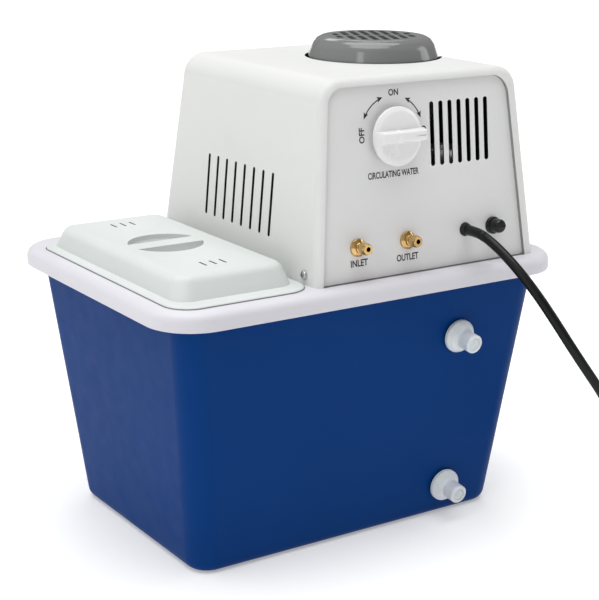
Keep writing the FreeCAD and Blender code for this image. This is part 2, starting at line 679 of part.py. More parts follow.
ROCKER_R = 10.2
ROCKER_AT = -4.0          # the rocker's pin, inwards from the front face
ROCKER_TILT = 10.0


def switch_bezel():
    """Power switch housing: framed opening with the rocker's pin across it."""
    frame = plate(rectangle(-14.5, 14.5, -17, 17, 2.5), xz(0), (0, 2.4, 0))
    body = frame.fuse(Part.makeBox(22, 18, 25, Vector(-11, -18, -12.5)))
    body = body.cut(Part.makeBox(16.4, 20, 2 * ROCKER_R + 1.0, Vector(-8.2, -15, -ROCKER_R - 0.5)))
    body = body.fuse(rod(1.5, 22, (-11, ROCKER_AT, 0), (1, 0, 0)))
    body.translate(Vector(FRONT_MID, 0, SWITCH_V))
    return put(body, FRONT)


def switch_rocker():
    """Rocker with two facets that meet in a shallow valley; its lower half stands out."""
    disc = rod(ROCKER_R, 15.6, (-7.8, 0, 0), (1, 0, 0))
    rise = math.tan(math.radians(12)) * 14
    above = plate([(5.5, 0), (5.5 + rise, 14), (30, 14), (30, -14), (5.5 + rise, -14)],
                  yz(-10), (20, 0, 0))
    below = Part.makeBox(20, 20, 30, Vector(-10, -25, -15))
    rocker = disc.cut(above).cut(below).cut(rod(1.5 + RUNNING, 30, (-15, 0, 0), (1, 0, 0)))
    rocker.rotate(Vector(), Vector(1, 0, 0), ROCKER_TILT)
    rocker.translate(Vector(FRONT_MID, ROCKER_AT, SWITCH_V))
    return put(rocker, FRONT)


def indicator_lamp():
    profile = [(0, -16), (5.0, -16), (5.0, 0), (7.0, 0), (7.0, 1.2, 0.4), (5.2, 1.6), (5.0, 4.2, 2),
               (0, 5.6)]
    return put(lathe(profile, (FRONT_MID, 0, LAMP_V), (0, 1, 0)), FRONT)


CHECK_R = 3.0             # ball of the check valve in each suction nozzle
CHECK_SEAT = -9.0


def suction_nozzle(x):
    """Hose nozzle with a check-valve chamber: flange on the hood, barbed end outside."""
    chamber = CHECK_R + FREE
    profile = [(1.6, -26), (4.5, -26), (4.5, -19), (6.0, -18), (6.0, 0), (10.0, 0),
               (10.0, 4.0, 1.0), (6.5, 5.0, 0.5), (6.5, 10.0), (5.0, 11.0), (5.0, 18.0),
               (4.0, 18.6), (5.0, 23.0), (4.0, 23.6), (4.6, 27.6), (4.0, 30.0, 0.5), (1.6, 30.0),
               (1.6, 4.5), (chamber, 2.5), (chamber, CHECK_SEAT), (1.6, CHECK_SEAT)]
    return put(lathe(profile, (x, 0, SUCTION_V), (0, 1, 0)), FRONT)


def check_ball(x):
    return put(Part.makeSphere(CHECK_R, Vector(x, CHECK_SEAT + CHECK_R + 0.05, SUCTION_V)), FRONT)


def panel_nuts():
    """Nuts behind the two brass nipples and behind the two suction nozzles."""
    start = HOOD_WALL + PANEL_THICK
    rear = [put(hexagon(13, 4, (x, start, v), 4.0, (0, 1, 0)), REAR)
            for x, v in (INLET_AT, OUTLET_AT)]
    front = [put(hexagon(19, 5, (x, -HOOD_WALL, SUCTION_V), 6.0, (0, -1, 0)), FRONT)
             for x in GAUGE_X]
    return group(rear + front)


# ---------------------------------------------------------------- motor
HOUSING_R = 52.0
STATOR_R = 48.5
ROTOR_R = 27.6
BEARING_R = 11.0
HOSE_R = 6.0
PLATE_BOX = (-34.0, 158.0, -92.0, 92.0)
PLATE_HOLES = [(14.0, 60.0), (14.0, -60.0), (14.0, -7.0), (-13.6, -72.0)]


def plate_screw_places():
    x0, x1, y0, y1 = PLATE_BOX
    edge = 5.5
    return [(x, y) for x in (x0 + edge, x1 - edge) for y in (y0 + edge, y1 - edge)]


def motor_plate():
    """Plate over the deck's pump opening that carries the motor and the pump column."""
    sheet = plate(rectangle(*PLATE_BOX, 8), xy(DECK_TOP), (0, 0, PLATE_TOP - DECK_TOP))
    sheet = sheet.cut(rod(SHAFT_R + 2, 20, (MOTOR_X, 0, DECK_TOP - 5)))
    for x, y in PLATE_HOLES:
        sheet = sheet.cut(rod(HOSE_R + 4, 20, (x, y, DECK_TOP - 5)))
    for x, y in plate_screw_places():
        sheet = sheet.cut(rod(1.8, 20, (x, y, DECK_TOP - 5)))
    return sheet


def cross_screws():
    """Eight screws: four in the hood's sides and four in the motor plate."""
    hood = [cross_screw((x - 0.35 * w[0], y, z), w) for (x, y, z), w in screw_places()]
    low = [cross_screw((x, y, PLATE_TOP), (0, 0, -1), length=3.9)
           for x, y in plate_screw_places()]
    return group(hood + low)


def motor_housing():
    """Steel tube of the motor between its two end shields."""
    return pipe(HOUSING_R, STATOR_R, 90, (MOTOR_X, 0, 245.5))


def end_shields():
    """Lower and upper end shields with their bearing seats."""
    low = lathe([(BEARING_R, PLATE_TOP), (HOUSING_R + 3, PLATE_TOP, 1), (HOUSING_R + 3, 245.5, 2),
                 (BEARING_R + 4, 245.5), (BEARING_R + 4, 247.0), (BEARING_R, 247.0)])
    high = lathe([(BEARING_R, 334.0), (BEARING_R + 4, 334.0), (BEARING_R + 4, 335.5),
                  (CAP_RADIUS - 2.0, 335.5), (CAP_RADIUS - 2.0, 345.5, 2), (BEARING_R, 345.5)])
    both = group([low, high])
    both.translate(Vector(MOTOR_X, 0, 0))
    return both


def motor_bearings():
    return group([pipe(BEARING_R, SHAFT_R + RUNNING, 9, (MOTOR_X, 0, z)) for z in (237.0, 335.5)])


def motor_stator():
    """Laminated ring with its two winding heads."""
    ring = pipe(STATOR_R, ROTOR_R + 0.4, 60, (MOTOR_X, 0, 262))
    heads = [lathe([(31, z), (45, z, 4), (45, z + 11, 4), (31, z + 11)], (MOTOR_X, 0, 0))
             for z in (251.0, 322.0)]
    return ring.fuse(heads)


def motor_rotor():
    return pipe(ROTOR_R, SHAFT_R, 60, (MOTOR_X, 0, 262))


def motor_shaft():
    return rod(SHAFT_R, 320, (MOTOR_X, 0, 46))


def cooling_fan():
    """Hub, disc and eight straight blades under the fan cover."""
    low = 350.0
    fan = pipe(12, SHAFT_R, 16, (MOTOR_X, 0, low)).fuse(pipe(46, SHAFT_R, 2, (MOTOR_X, 0, low)))
    for i in range(8):
        blade = Part.makeBox(36, 1.8, 16, Vector(10, -0.9, low))
        blade.rotate(Vector(), Vector(0, 0, 1), 45 * i)
        blade.translate(Vector(MOTOR_X, 0, 0))
        fan = fan.fuse(blade)
    return fan


CAPACITOR_AT = (98.0, -84.0)


def capacitor():
    profile = [(0, 268.0), (16.5, 268.0, 1), (16.5, 321.0, 2), (7, 321.0), (7, 323.0), (0, 323.0)]
    return lathe(profile, (CAPACITOR_AT[0], CAPACITOR_AT[1], 0))


def capacitor_bracket():
    """Bent strip from the motor plate to a shelf under the capacitor."""
    x, y = CAPACITOR_AT
    foot, back, thick = y + 8, y + 24, 2
    corners = [(foot, PLATE_TOP), (back, PLATE_TOP), (back, 290.0), (back - thick, 290.0),
               (back - thick, 268.0), (y - 12, 268.0), (y - 12, 266.0), (back - thick, 266.0),
               (back - thick, PLATE_TOP + thick), (foot, PLATE_TOP + thick)]
    return plate(corners, yz(x - 11), (22, 0, 0))


def terminal_block():
    """Block with a row of wire holes on the motor plate."""
    low = PLATE_TOP
    block = plate([(58, low), (82, low), (82, low + 9), (78, low + 16, 1), (62, low + 16, 1),
                   (58, low + 9)], yz(124), (28, 0, 0))
    for i in range(3):
        block = block.cut(rod(2.6, 40, (129 + 9 * i, 50, low + 5), (0, 1, 0)))
    return block


# ---------------------------------------------------------------- pump in the tank
VOLUTE_R = 50.0
IMPELLER_R = 38.0
RISER_AT = (14.0, 0.0)
EJECTOR_Y = 36.0
VACUUM_Y = 60.0           # vertical vacuum stub of each ejector
MANIFOLD_Z = 178.0
OUTLET_Z = 48.0


def pump_column():
    """Tube that carries the volute below the plate and guides the shaft."""
    profile = [(10, 62.0), (20, 62.0), (20, 214.0), (44, 222.5, 2), (44, DECK_TOP),
               (10, DECK_TOP)]
    return lathe(profile, (MOTOR_X, 0, 0))


def pump_volute():
    """Round pump case with an inlet below and an outlet pipe towards the riser."""
    case = lathe([(14, 34.0), (VOLUTE_R, 34.0, 3), (VOLUTE_R, 62.0, 3), (10, 62.0), (10, 58.0),
                  (IMPELLER_R + 5, 58.0), (IMPELLER_R + 5, 38.0), (14, 38.0)], (MOTOR_X, 0, 0))
    start = RISER_AT[0]
    outlet = rod(9, MOTOR_X - VOLUTE_R + 5 - start, (start, 0, OUTLET_Z), (1, 0, 0))
    outlet = outlet.cut(rod(10, 40, (start, 0, 30)))
    bore = rod(6.5, 34, (start, 0, OUTLET_Z), (1, 0, 0))
    return case.fuse(outlet).cut(bore)


def impeller():
    """Disc with six vanes on the shaft's lower end."""
    low, thick = 41.0, 3.0
    wheel = rod(IMPELLER_R, thick, (MOTOR_X, 0, low)).fuse(rod(11, 14, (MOTOR_X, 0, low)))
    for i in range(6):
        vane = Part.makeBox(IMPELLER_R - 9, 2.4, 12, Vector(8, -1.2, low + 2))
        vane.rotate(Vector(), Vector(0, 0, 1), 60 * i)
        vane.translate(Vector(MOTOR_X, 0, 0))
        wheel = wheel.fuse(vane)
    return wheel.cut(rod(SHAFT_R, 20, (MOTOR_X, 0, low + 5)))


def suction_strainer():
    """Perforated cup under the volute's inlet."""
    cup = lathe([(0, 12.0), (34, 12.0, 3), (34, 34.0), (31.5, 34.0), (31.5, 14.5, 1), (0, 14.5)])
    for i in range(18):
        hole = rod(3.0, 12, (26, 0, 23.5), (1, 0, 0))
        hole.rotate(Vector(), Vector(0, 0, 1), 20 * i)
        cup = cup.cut(hole)
    cup.translate(Vector(MOTOR_X, 0, 0))
    return cup


def water_distributor():
    """Riser from the volute and a cross pipe that feeds both ejectors and the valve."""
    x, y = RISER_AT
    riser = rod(10, MANIFOLD_Z - 36, (x, y, 36))
    cross = rod(9, 2 * EJECTOR_Y + 20, (x, y - EJECTOR_Y - 10, MANIFOLD_Z), (0, 1, 0))
    stub = rod(4, 24, (x, y, MANIFOLD_Z))
    body = riser.fuse([cross, stub])
    bores = [rod(6.5, MANIFOLD_Z - OUTLET_Z, (x, y, OUTLET_Z)),
             rod(6.5, 12, (x, y, OUTLET_Z), (1, 0, 0)),
             rod(5.5, 2 * EJECTOR_Y, (x, y - EJECTOR_Y, MANIFOLD_Z), (0, 1, 0)),
             rod(2.6, 30, (x, y, MANIFOLD_Z))]
    bores += [rod(4.0, 20, (x, y + s * EJECTOR_Y, MANIFOLD_Z - 20)) for s in (-1, 1)]
    for bore in bores:
        body = body.cut(bore)
    return body


def ejector(side):
    """Water-jet ejector hanging from the cross pipe, with a vacuum stub on its side."""
    x, y = RISER_AT[0], side * EJECTOR_Y
    top = MANIFOLD_Z
    body = lathe([(4.0, top), (4.0, 128), (6.5, 60), (6.5, 36.0), (9.5, 36.0), (9.5, 118.0),
                  (13.5, 124.0), (13.5, 156.0, 2), (8, 160.0), (8, top)], (x, y, 0))
    body = body.cut(rod(9, 60, (x, y - 30, top), (0, 1, 0)))
    arm = rod(4.4, VACUUM_Y - EJECTOR_Y, (x, y, 144), (0, side, 0)).cut(rod(6, 30, (x, y, 130)))
    upright = rod(4.4, 22, (x, side * VACUUM_Y, 139.6))
    return body.fuse([arm, upright])


def hoses(routes, bore):
    return group([tube_along(route, HOSE_R, bore)[0] for route in routes])


def vacuum_hoses():
    """Two hoses from the ejectors' stubs up through the plate to the suction nozzles."""
    def tail(x):
        return [tuple(at(FRONT, x, -36, SUCTION_V)), tuple(at(FRONT, x, -20, SUCTION_V))]

    near = [(14, VACUUM_Y, 152), (14, VACUUM_Y, 205), (14.5, 61, 246), (17, 69, 265)]
    far = [(14, -VACUUM_Y, 152), (14, -VACUUM_Y, 200), (13, -VACUUM_Y + 1, 238), (-8, -48, 262),
           (-14, -18, 274), (-12, 22, 282), (6, 52, 288), (34, 71, 290), (64, 76, 284),
           (86, 76, 274)]
    return hoses([near + tail(GAUGE_X[0]), far + tail(GAUGE_X[1])], 4.5)


def water_hoses():
    """Feed to the valve, valve to the outlet nipple, inlet nipple back to the tank."""
    x, v = KNOB_AT
    left = [tuple(at(REAR, x - s, VALVE_DEPTH, v)) for s in (38, 15)]
    right = [tuple(at(REAR, x + s, VALVE_DEPTH, v)) for s in (15, 36)]
    inlet = [tuple(at(REAR, INLET_AT[0], HOOD_WALL + s, INLET_AT[1])) for s in (11, 26)]
    outlet = [tuple(at(REAR, OUTLET_AT[0], HOOD_WALL + s, OUTLET_AT[1])) for s in (28, 11)]
    feed = [(14, 0, 190), (14, 0, 216), (13, -13, 244), (4, -36, 278), (-12, -62, 308),
            (-28, -84, 331)]
    to_outlet = [(66, -90, 326), (64, -82, 302), (56, -70, 276), (44, -66, 260)]
    back = [(-13.6, -80, 246), (-13.6, -72, 228), (-13.6, -68, 200), (-13.6, -66, 176)]
    return hoses([feed + left, right + to_outlet + outlet, inlet + back], 4.0)


# ---------------------------------------------------------------- all nodes
NODES = {
    "tank": tank, "deck": deck, "tank_lid": tank_lid,
    "hood_shell": hood_shell, "hood_brackets": hood_brackets, "cross_screws": cross_screws,
    "rear_panel": rear_panel, "fan_cover": fan_cover,
    "circulation_knob": circulation_knob, "valve_stem": valve_stem, "valve_ball": valve_ball,
    "valve_body": valve_body,
    "inlet_nipple": lambda: put(nipple(*INLET_AT), REAR),
    "outlet_nipple": lambda: put(nipple(*OUTLET_AT), REAR),
    "panel_nuts": panel_nuts,
    "fuse_holder": fuse_holder, "fuse_cap": fuse_cap, "fuse_link": fuse_link,
    "cord_bushing": cord_bushing, "power_cord": power_cord, "power_cord_coil": power_cord_coil,
    "power_plug": power_plug,
    "overflow_nozzle": lambda: tank_nozzle(*OVERFLOW_AT),
    "drain_nozzle": lambda: tank_nozzle(*DRAIN_AT),
    "nozzle_gaskets": nozzle_gaskets, "nozzle_nuts": nozzle_nuts,
    "switch_bezel": switch_bezel, "switch_rocker": switch_rocker,
    "indicator_lamp": indicator_lamp,
    "motor_plate": motor_plate, "motor_housing": motor_housing,
    "end_shields": end_shields, "motor_bearings": motor_bearings, "motor_stator": motor_stator,
    "motor_rotor": motor_rotor, "motor_shaft": motor_shaft, "cooling_fan": cooling_fan,
    "capacitor": capacitor, "capacitor_bracket": capacitor_bracket,
    "terminal_block": terminal_block,
    "pump_column": pump_column, "pump_volute": pump_volute, "impeller": impeller,
    "suction_strainer": suction_strainer, "water_distributor": water_distributor,
    "ejectors": lambda: group([ejector(1), ejector(-1)]),
    "vacuum_hoses": vacuum_hoses, "water_hoses": water_hoses,
}
for place, gauge_x in zip(("a", "b"), GAUGE_X):
    for piece, make in (("gauge_case", gauge_case), ("gauge_dial", gauge_dial),
                        ("gauge_pointer", gauge_pointer), ("gauge_lens", gauge_lens),
                        ("suction_nozzle", suction_nozzle), ("check_ball", check_ball)):
        NODES[piece + "_" + place] = lambda make=make, gauge_x=gauge_x: make(gauge_x)

for name, make in NODES.items():
    export(name, make())
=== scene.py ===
"""Looks of the circulating-water vacuum pump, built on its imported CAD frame. Metres."""
import math

import bmesh
import bpy
from mathutils import Matrix, Vector


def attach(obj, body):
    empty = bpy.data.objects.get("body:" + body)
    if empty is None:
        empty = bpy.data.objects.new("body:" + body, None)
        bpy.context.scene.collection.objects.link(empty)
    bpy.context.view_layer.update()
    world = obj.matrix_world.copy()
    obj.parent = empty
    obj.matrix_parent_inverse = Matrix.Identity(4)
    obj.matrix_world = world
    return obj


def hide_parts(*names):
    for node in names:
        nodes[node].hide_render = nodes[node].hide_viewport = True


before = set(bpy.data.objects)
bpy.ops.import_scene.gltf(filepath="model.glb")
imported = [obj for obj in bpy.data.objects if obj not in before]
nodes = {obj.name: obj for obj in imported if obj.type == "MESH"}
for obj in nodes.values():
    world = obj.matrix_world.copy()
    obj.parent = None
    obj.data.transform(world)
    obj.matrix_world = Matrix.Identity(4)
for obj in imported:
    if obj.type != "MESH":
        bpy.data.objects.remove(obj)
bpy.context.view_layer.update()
scene = bpy.context.scene
MM = 0.001
DECK_TOP = 0.2295

# ---------------------------------------------------------------- local frames of the faces
REAR_LEAN = math.atan2(16.4, 158.5)
FRONT_LEAN = math.atan2(19.4, 158.5)
TANK_LEAN = math.atan2(25.0, 223.0)


def face_frame(y, z, lean):
    return Matrix.Translation((0, y * MM, z * MM)) @ Matrix.Rotation(lean, 4, "X")


REAR = face_frame(-128.0, DECK_TOP / MM, -REAR_LEAN)      # local y grows inwards
FRONT = face_frame(124.0, DECK_TOP / MM, FRONT_LEAN)      # local y grows outwards
TANK_SIDE = face_frame(-105.0, 0.0, TANK_LEAN)


def mm(x, y, z):
    return Vector((x, y, z)) * MM


# ---------------------------------------------------------------- materials
class Shader:
    """A small builder for one node material."""

    def __init__(self, name):
        self.material = bpy.data.materials.new(name)
        self.material.use_nodes = True
        self.tree = self.material.node_tree
        self.surface = self.tree.nodes["Principled BSDF"]
        place = self.tree.nodes.new("ShaderNodeTexCoord")
        self.space, self.facing = place.outputs["Object"], place.outputs["Normal"]

    def set(self, **values):
        for key, value in values.items():
            self.surface.inputs[key.replace("_", " ")].default_value = value
        return self

    def node(self, kind, inputs=(), **settings):
        node = self.tree.nodes.new("ShaderNode" + kind)
        for key, value in settings.items():
            setattr(node, key, value)
        for key, value in dict(inputs).items():
            if isinstance(value, bpy.types.NodeSocket):
                self.tree.links.new(value, node.inputs[key])
            else:
                node.inputs[key].default_value = value
        return node

    def link(self, output, key):
        self.tree.links.new(output, self.surface.inputs[key])

    def noise(self, scale, detail=4.0, rough=0.55, stretch=(1, 1, 1)):
        place = self.node("Mapping", {"Vector": self.space, "Scale": stretch})
        return self.node("TexNoise", {"Vector": place.outputs[0], "Scale": scale,
                                      "Detail": detail, "Roughness": rough}).outputs["Fac"]

    def remap(self, value, low, high, to_low, to_high):
        return self.node("MapRange", {"Value": value, "From Min": low, "From Max": high,
                                      "To Min": to_low, "To Max": to_high}).outputs[0]

    def blend(self, fac, a, b):
        mix = self.node("Mix", data_type="RGBA")
        for key, value in ((0, fac), (6, a), (7, b)):
            if isinstance(value, bpy.types.NodeSocket):
                self.tree.links.new(value, mix.inputs[key])
            else:
                mix.inputs[key].default_value = value
        return mix.outputs[2]

    def math(self, operation, a, b=0.5):
        return self.node("Math", {0: a, 1: b}, operation=operation).outputs[0]

    def larger(self, a, b):
        return self.math("MAXIMUM", a, b)

    def scaled(self, value, by):
        return self.math("MULTIPLY", value, by)

    def towards(self, vector, direction):
        """The part of a vector along a direction."""
        node = self.node("VectorMath", {0: vector, 1: direction}, operation="DOT_PRODUCT")
        return node.outputs["Value"]

    def over(self, value, limit):
        """1 where a value is above a limit, else 0."""
        return self.math("GREATER_THAN", value, limit)

    def under(self, value, limit):
        """1 where a value is below a limit, else 0."""
        return self.math("LESS_THAN", value, limit)

    def every(self, *masks):
        """The product of several masks."""
        total = masks[0]
        for mask in masks[1:]:
            total = self.math("MULTIPLY", total, mask)
        return total

    def size_of(self, value):
        return self.math("ABSOLUTE", value)

    def along_axes(self):
        """The place's x, y and z."""
        return [self.towards(self.space, axis) for axis in ((1, 0, 0), (0, 1, 0), (0, 0, 1))]

    def bump(self, height, strength, distance, normal=None):
        inputs = {"Height": height, "Strength": strength, "Distance": distance}
        if normal is not None:
            inputs["Normal"] = normal
        return self.node("Bump", inputs).outputs[0]


def shade(colour, by):
    return tuple(min(1.0, c * by) for c in colour[:3]) + (1.0,)


SHADOW = (0.012, 0.012, 0.013, 1.0)       # painted shadow: colour put on seams and on surfaces turned inwards
SEAM_SHADE_SHARE = 0.62                         # how much of the painted shadow a seam takes

# Places of the painted-shade masks, in metres.
HOOD_MIDDLE = (0.056, 0.0, 0.29)
HOOD_FOOT_X, HOOD_FOOT_Y = 0.0556, 0.0020
HOOD_FOOT_HALF = (0.1114, 0.1257)
HOOD_FOOT_CORNERS = 0.2306
HOOD_SLOTS_X, HOOD_SLOTS_Y = -0.03, 0.095
HOOD_SLOTS_Z = (0.25, 0.32)
SLITS_X, SLITS_LONG = 0.1185, 0.013
SLITS_Y = (0.068, 0.084)


def hood_painted_shade(s):
    """Mask of painted shade on the hood's inner surfaces and on the walls of its slots and
    openings.
    """
    x, y, z = s.along_axes()
    from_middle = s.node("VectorMath", {0: s.space, 1: HOOD_MIDDLE}, operation="SUBTRACT")
    outwards = s.towards(from_middle.outputs[0], s.facing)
    depth = s.towards(s.space, (0.0, math.cos(REAR_LEAN), -math.sin(REAR_LEAN)))
    face = -0.128 * math.cos(REAR_LEAN) - DECK_TOP * math.sin(REAR_LEAN)    # the rear face's depth
    # painted shade: inward surfaces behind the lip fully, the lip walls at seam strength
    inner = s.every(s.under(outwards, 0.0), s.over(depth, face + 0.0028))
    rim = s.every(s.under(outwards, 0.0), s.over(depth, face + 0.0002))
    inner = s.larger(inner, s.scaled(rim, SEAM_SHADE_SHARE))
    slots = s.every(s.under(s.size_of(s.towards(s.facing, (1, 0, 0))), 0.7),
                    s.under(x, HOOD_SLOTS_X), s.under(s.size_of(y), HOOD_SLOTS_Y),
                    s.under(z, HOOD_SLOTS_Z[1]), s.over(z, HOOD_SLOTS_Z[0]))
    return s.larger(inner, slots)


def panel_painted_shade(s):
    """Mask of painted shade on everything on the rear panel but its outer face."""
    outward = (0.0, -math.cos(REAR_LEAN), math.sin(REAR_LEAN))
    return s.under(s.towards(s.facing, outward), 0.6)


def lid_painted_shade(s):
    """Mask of painted shade on the walls of the lid's short slits and at the foot of its flange.
    """
    x, y, z = s.along_axes()
    slits = s.every(s.under(s.size_of(s.math("ADD", x, SLITS_X)), SLITS_LONG),
                    s.over(s.size_of(y), SLITS_Y[0]), s.under(s.size_of(y), SLITS_Y[1]),
                    s.under(s.towards(s.facing, (0, 0, 1)), 0.6), s.over(z, 0.235))
    foot = s.every(s.under(z, DECK_TOP + 0.0007), s.over(z, DECK_TOP - 0.0001),
                   s.over(s.towards(s.facing, (0, 0, 1)), -0.5))
    return s.scaled(s.larger(slits, foot), SEAM_SHADE_SHARE)


def deck_painted_shade(s):
    """Mask of painted shadow on the deck's top inside the hood's foot, so that the seam between
    deck and hood reads as a shaded line.
    """
    x, y, z = s.along_axes()
    across = s.size_of(s.math("SUBTRACT", x, HOOD_FOOT_X))
    along = s.size_of(s.math("ADD", y, HOOD_FOOT_Y))
    corners = s.under(s.math("ADD", across, along), HOOD_FOOT_CORNERS)
    foot = s.every(s.under(across, HOOD_FOOT_HALF[0]), s.under(along, HOOD_FOOT_HALF[1]), corners,
                   s.over(z, DECK_TOP - 0.001))
    return s.scaled(foot, 0.8)


def moulded(name, colour, rough, grain=0.12, scale=900.0, waviness=0.15, vary=0.04, scuffs=0.0,
            painted_shade_mask=None, shine=0.5):
    """Moulded plastic: faint tone drift, fine grain, slow surface waves, a painted highlight on
    convex edges, and a painted shadow where a mask is given.
    """
    s = Shader(name).set(Specular_IOR_Level=shine)
    drift = s.remap(s.noise(9.0, 3.0), 0.3, 0.7, 0.0, 1.0)
    tone = s.blend(drift, shade(colour, 1.0 - vary), shade(colour, 1.0 + vary))
    speck = s.remap(s.noise(420.0, 2.0), 0.66, 0.74, 0.0, 0.16)
    tone = s.blend(speck, tone, shade(colour, 0.72))
    if scuffs:
        streak = s.noise(26.0, 6.0, 0.7, (1.0, 1.0, 0.15))
        mark = s.remap(streak, 0.62, 0.8, 0.0, scuffs)
        tone = s.blend(mark, tone, shade(colour, 1.35))
    # painted highlight: convex edges, found by pointiness, are made lighter
    edge = s.node("NewGeometry").outputs["Pointiness"]
    edge_highlight = s.remap(edge, 0.52, 0.6, 0.0, 0.25)
    tone = s.blend(edge_highlight, tone, shade(colour, 1.12))
    # painted shadow: the masked recesses, slot walls and seams take the shadow colour
    if painted_shade_mask:
        tone = s.blend(painted_shade_mask(s), tone, SHADOW)
    s.link(tone, "Base Color")
    s.link(s.remap(s.noise(60.0, 4.0), 0.3, 0.7, rough - 0.05, rough + 0.05), "Roughness")
    waves = s.bump(s.noise(18.0, 2.0), waviness, 0.0012)
    s.link(s.bump(s.noise(scale, 3.0), grain, 0.00025, waves), "Normal")
    return s.material


def metal(name, colour, rough, scratch=(1, 1, 12), scale=260.0, grain=0.12, stain=None):
    """Metal with fine directional lines and slight tarnish."""
    s = Shader(name).set(Metallic=1.0)
    lines = s.noise(scale, 5.0, 0.6, scratch)
    stains = s.remap(s.noise(45.0, 5.0), 0.45, 0.75, 0.0, 0.55)
    s.link(s.blend(stains, shade(colour, 1.0), stain or shade(colour, 0.72)), "Base Color")
    s.link(s.remap(lines, 0.3, 0.7, rough - 0.07, rough + 0.1), "Roughness")
    s.link(s.bump(lines, grain, 0.0001), "Normal")
    return s.material


def rubber(name, colour, rough=0.6, grain=0.25, scale=1400.0, dusty=0.25):
    s = Shader(name).set(Specular_IOR_Level=0.2)
    dust = s.remap(s.noise(80.0, 6.0, 0.7), 0.5, 0.8, 0.0, dusty)
    s.link(s.blend(dust, shade(colour, 1.0), (0.12, 0.12, 0.12, 1.0)), "Base Color")
    s.link(s.remap(s.noise(200.0, 3.0), 0.3, 0.7, rough - 0.08, rough + 0.08), "Roughness")
    s.link(s.bump(s.noise(scale, 3.0), grain, 0.0001), "Normal")
    return s.material


def printed(name, colour, rough=0.45):
    s = Shader(name)
    wear = s.remap(s.noise(900.0, 3.0), 0.6, 0.75, 0.0, 0.35)
    s.link(s.blend(wear, shade(colour, 1.0), (0.35, 0.35, 0.35, 1.0)), "Base Color")
    return s.set(Roughness=rough).material


def milky(name, colour, rough=0.35):
    """Natural polymer that lets a little light in."""
    s = Shader(name)
    s.set(Subsurface_Weight=0.35, Subsurface_Scale=0.004)
    cloud = s.remap(s.noise(120.0, 4.0), 0.3, 0.7, 0.0, 1.0)
    s.link(s.blend(cloud, shade(colour, 0.92), shade(colour, 1.05)), "Base Color")
    s.link(s.remap(s.noise(300.0, 3.0), 0.3, 0.7, rough - 0.06, rough + 0.06), "Roughness")
    s.link(s.bump(s.noise(700.0, 2.0), 0.1, 0.0002), "Normal")
    return s.material


def clear(name):
    s = Shader(name).set(Transmission_Weight=1.0, IOR=1.49, Alpha=0.35)
    s.set(Base_Color=(0.93, 0.96, 0.97, 1.0))
    s.link(s.remap(s.noise(90.0, 4.0), 0.35, 0.8, 0.02, 0.09), "Roughness")
    return s.material


def windings(name):
    s = Shader(name).set(Metallic=0.7)
    wave = s.node("TexWave", {"Vector": s.space, "Scale": 260.0, "Distortion": 3.0,
                              "Detail": 3.0}, bands_direction="Z").outputs["Fac"]
    s.link(s.blend(wave, (0.06, 0.06, 0.065, 1), (0.28, 0.27, 0.27, 1)), "Base Color")
    s.link(s.bump(wave, 0.5, 0.0004), "Normal")
    return s.set(Roughness=0.5).material


BLUE = (0.0012, 0.036, 0.170)
LOOK = {
    "tank_blue": moulded("tank_blue", BLUE, 0.45, 0.10, 700.0, 0.20, 0.04, 0.10, shine=0.05),
    "deck_white": moulded("deck_white", (0.610, 0.602, 0.642), 0.40, 0.06, 900.0, 0.08, 0.015,
                          painted_shade_mask=deck_painted_shade, shine=0.35),
    "lid_white": moulded("lid_white", (0.590, 0.619, 0.610), 0.45, 0.16, 900.0, 0.08, 0.015,
                         painted_shade_mask=lid_painted_shade, shine=0.3),
    "hood_white": moulded("hood_white", (0.655, 0.662, 0.650), 0.48, 0.20, 1100.0, 0.05, 0.012,
                          painted_shade_mask=hood_painted_shade, shine=0.3),
    "panel_white": moulded("panel_white", (0.655, 0.655, 0.658), 0.50, 0.18, 1100.0, 0.04, 0.012,
                           painted_shade_mask=panel_painted_shade, shine=0.25),
    "cowl_grey": moulded("cowl_grey", (0.175, 0.180, 0.177), 0.13, 0.03, 800.0, 0.04, 0.03),
    "knob_white": moulded("knob_white", (0.745, 0.74, 0.745), 0.24, 0.03, 900.0, 0.03, 0.01),
    "black_plastic": moulded("black_plastic", (0.007, 0.007, 0.008), 0.22, 0.10, 1200.0,
                             shine=0.3),
    "black_paint": moulded("black_paint", (0.014, 0.014, 0.016), 0.20, 0.05, 1200.0),
    "grey_plastic": moulded("grey_plastic", (0.30, 0.31, 0.32), 0.45),
    "pump_plastic": moulded("pump_plastic", (0.62, 0.63, 0.62), 0.42),
    "rocker_red": moulded("rocker_red", (0.55, 0.015, 0.012), 0.24, 0.04),
    "dial_white": moulded("dial_white", (0.82, 0.82, 0.80), 0.55, 0.04),
    "motor_paint": moulded("motor_paint", (0.10, 0.14, 0.16), 0.42, 0.2, 500.0),
    "lamp_green": moulded("lamp_green", (0.02, 0.42, 0.08), 0.16, 0.02),
    "nozzle_white": milky("nozzle_white", (0.66, 0.70, 0.72)),
    "hose_clear": milky("hose_clear", (0.52, 0.52, 0.46)),
    "brass": metal("brass", (0.64, 0.43, 0.18), 0.15, (1, 8, 1), 300.0, 0.06,
                   (0.34, 0.21, 0.08, 1)),
    "steel": metal("steel", (0.58, 0.58, 0.57), 0.32),
    "zinc": metal("zinc", (0.62, 0.62, 0.58), 0.36, (1, 1, 1), 90.0),
    "aluminium": metal("aluminium", (0.78, 0.78, 0.79), 0.28, (1, 1, 9), 320.0),
    "cast_alu": metal("cast_alu", (0.50, 0.50, 0.51), 0.55, (1, 1, 1), 420.0, 0.4),
    "rubber": rubber("rubber", (0.016, 0.016, 0.017)),
    "cord_rubber": rubber("cord_rubber", (0.0045, 0.0052, 0.0052), 0.34, 0.08, dusty=0.03),
    "ink": printed("ink", (0.008, 0.008, 0.010)),
    "white_ink": printed("white_ink", (0.75, 0.75, 0.75)),
    "clear_glass": clear("clear_glass"),
    "windings": windings("windings"),
}

